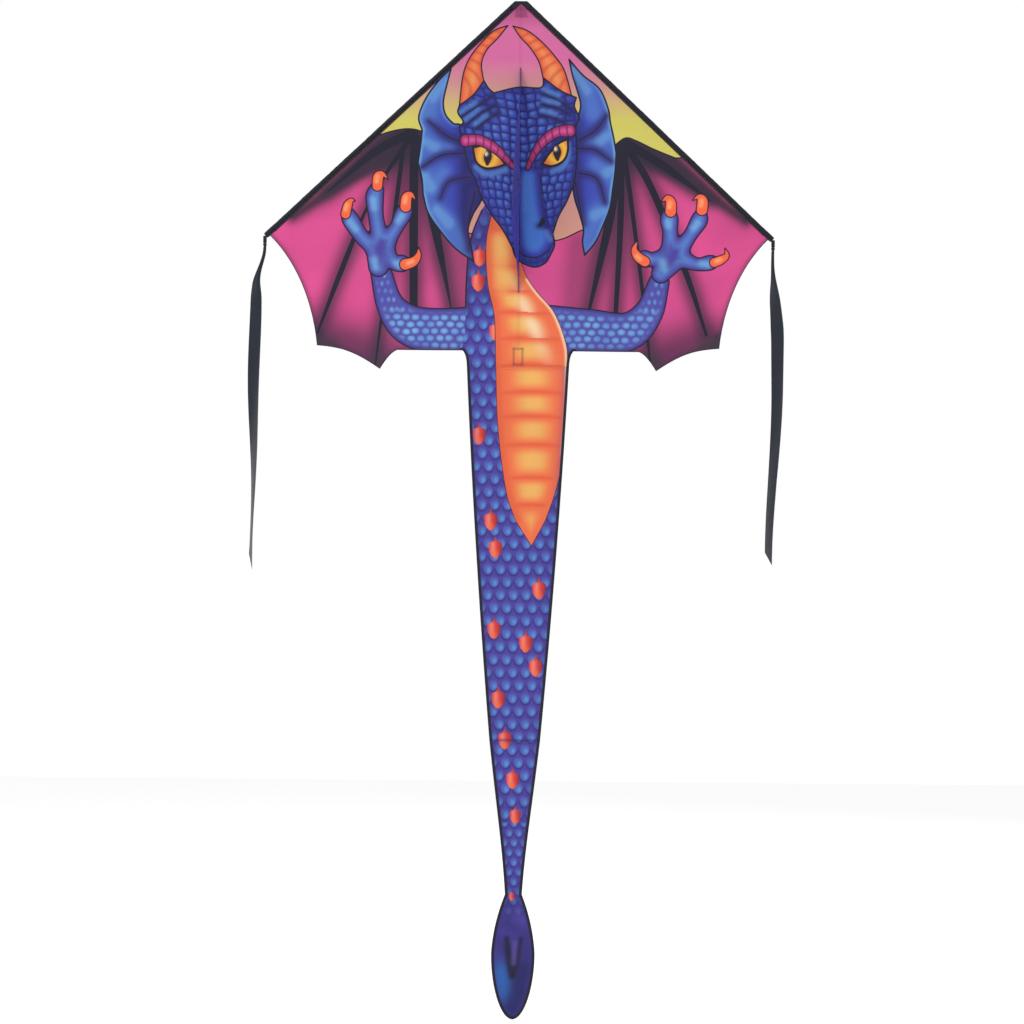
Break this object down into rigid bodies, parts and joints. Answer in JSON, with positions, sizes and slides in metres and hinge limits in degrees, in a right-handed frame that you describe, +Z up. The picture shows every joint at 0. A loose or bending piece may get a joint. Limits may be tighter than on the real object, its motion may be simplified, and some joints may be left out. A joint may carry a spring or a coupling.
{
  "type": "dragon kite",
  "caption": "Keeled delta kite with a printed cloth sail, rod frame, pull-off spreader, long tapering cloth tail with a leaf tip, and a ribbon streamer on each wing tip.",
  "frame": {"origin": "middle of the flat top of the nose, where the kite hangs", "axes": "+Z up towards the nose, along the spine; +X to the right as seen from the printed side; -Y towards the viewer, the printed side with the keel; +Y the back with the rods"},
  "size_m": [1.1762, 0.1795, 2.292],
  "materials": {
    "sail_print": "satin",
    "keel_cloth": "satin",
    "black_cloth": "matte",
    "ribbon": "satin",
    "fibreglass": "satin",
    "vinyl": "satin",
    "brass": "polished"
  },
  "bodies": {
    "centre": {"sail_centre": "sail_print", "nose_binding": "black_cloth", "spine_spar": "fibreglass", "spine_top_cap": "vinyl", "spine_bottom_cap": "vinyl", "spine_sleeve": "keel_cloth", "nose_pocket": "keel_cloth", "spine_pocket": "keel_cloth"},
    "keel": {"keel_panel": "keel_cloth", "keel_patch_left": "keel_cloth", "keel_patch_right": "keel_cloth", "tow_grommet": "brass"},
    "left_wing": {"sail_wing_left": "sail_print", "leading_edge_sleeve_left": "black_cloth", "leading_edge_spar_left": "fibreglass", "spar_nose_cap_left": "vinyl", "spar_tip_cap_left": "vinyl", "tip_pocket_left": "black_cloth", "tip_tab_left": "black_cloth", "corner_patch_left": "black_cloth"},
    "right_wing": {"sail_wing_right": "sail_print", "leading_edge_sleeve_right": "black_cloth", "leading_edge_spar_right": "fibreglass", "spar_nose_cap_right": "vinyl", "spar_tip_cap_right": "vinyl", "tip_pocket_right": "black_cloth", "tip_tab_right": "black_cloth", "corner_patch_right": "black_cloth"},
    "spreader": {"spreader_rod": "fibreglass", "spreader_clip_left": "vinyl", "spreader_clip_right": "vinyl"},
    "tail_upper": {"tail_upper_panel": "sail_print"},
    "tail_lower": {"tail_lower_panel": "sail_print"},
    "left_streamer": {"streamer_left": "ribbon", "streamer_knot_left": "ribbon"},
    "right_streamer": {"streamer_right": "ribbon", "streamer_knot_right": "ribbon"}
  },
  "joints": [
    {"name": "left_wing_fold", "type": "hinge", "parent": "centre", "child": "left_wing", "pos_m": [-0.006, 0, 0], "axis": [0.1495, 0, 0.9888], "range_deg": [0, 85]},
    {"name": "right_wing_fold", "type": "hinge", "parent": "centre", "child": "right_wing", "pos_m": [0.006, 0, 0], "axis": [-0.1495, 0, 0.9888], "range_deg": [-85, 0]},
    {"name": "keel_swing", "type": "hinge", "parent": "centre", "child": "keel", "pos_m": [0, -0.0015, -0.4], "axis": [0, 0, 1], "range_deg": [-80, 80]},
    {"name": "spreader_pull", "type": "slide", "parent": "centre", "child": "spreader", "axis": [0, 1, 0], "range_m": [0, 0.3]},
    {"name": "tail_upper_swing", "type": "hinge", "parent": "centre", "child": "tail_upper", "pos_m": [0, 0, -0.822], "axis": [1, 0, 0], "range_deg": [-80, 80]},
    {"name": "tail_lower_swing", "type": "hinge", "parent": "tail_upper", "child": "tail_lower", "pos_m": [0, 0, -1.663], "axis": [1, 0, 0], "range_deg": [-90, 90]},
    {"name": "left_streamer_swing", "type": "hinge", "parent": "left_wing", "child": "left_streamer", "pos_m": [-0.57157, 0, -0.54593], "axis": [1, 0, 0], "range_deg": [-80, 80]},
    {"name": "right_streamer_swing", "type": "hinge", "parent": "right_wing", "child": "right_streamer", "pos_m": [0.57157, 0, -0.54593], "axis": [1, 0, 0], "range_deg": [-80, 80]}
  ]
}
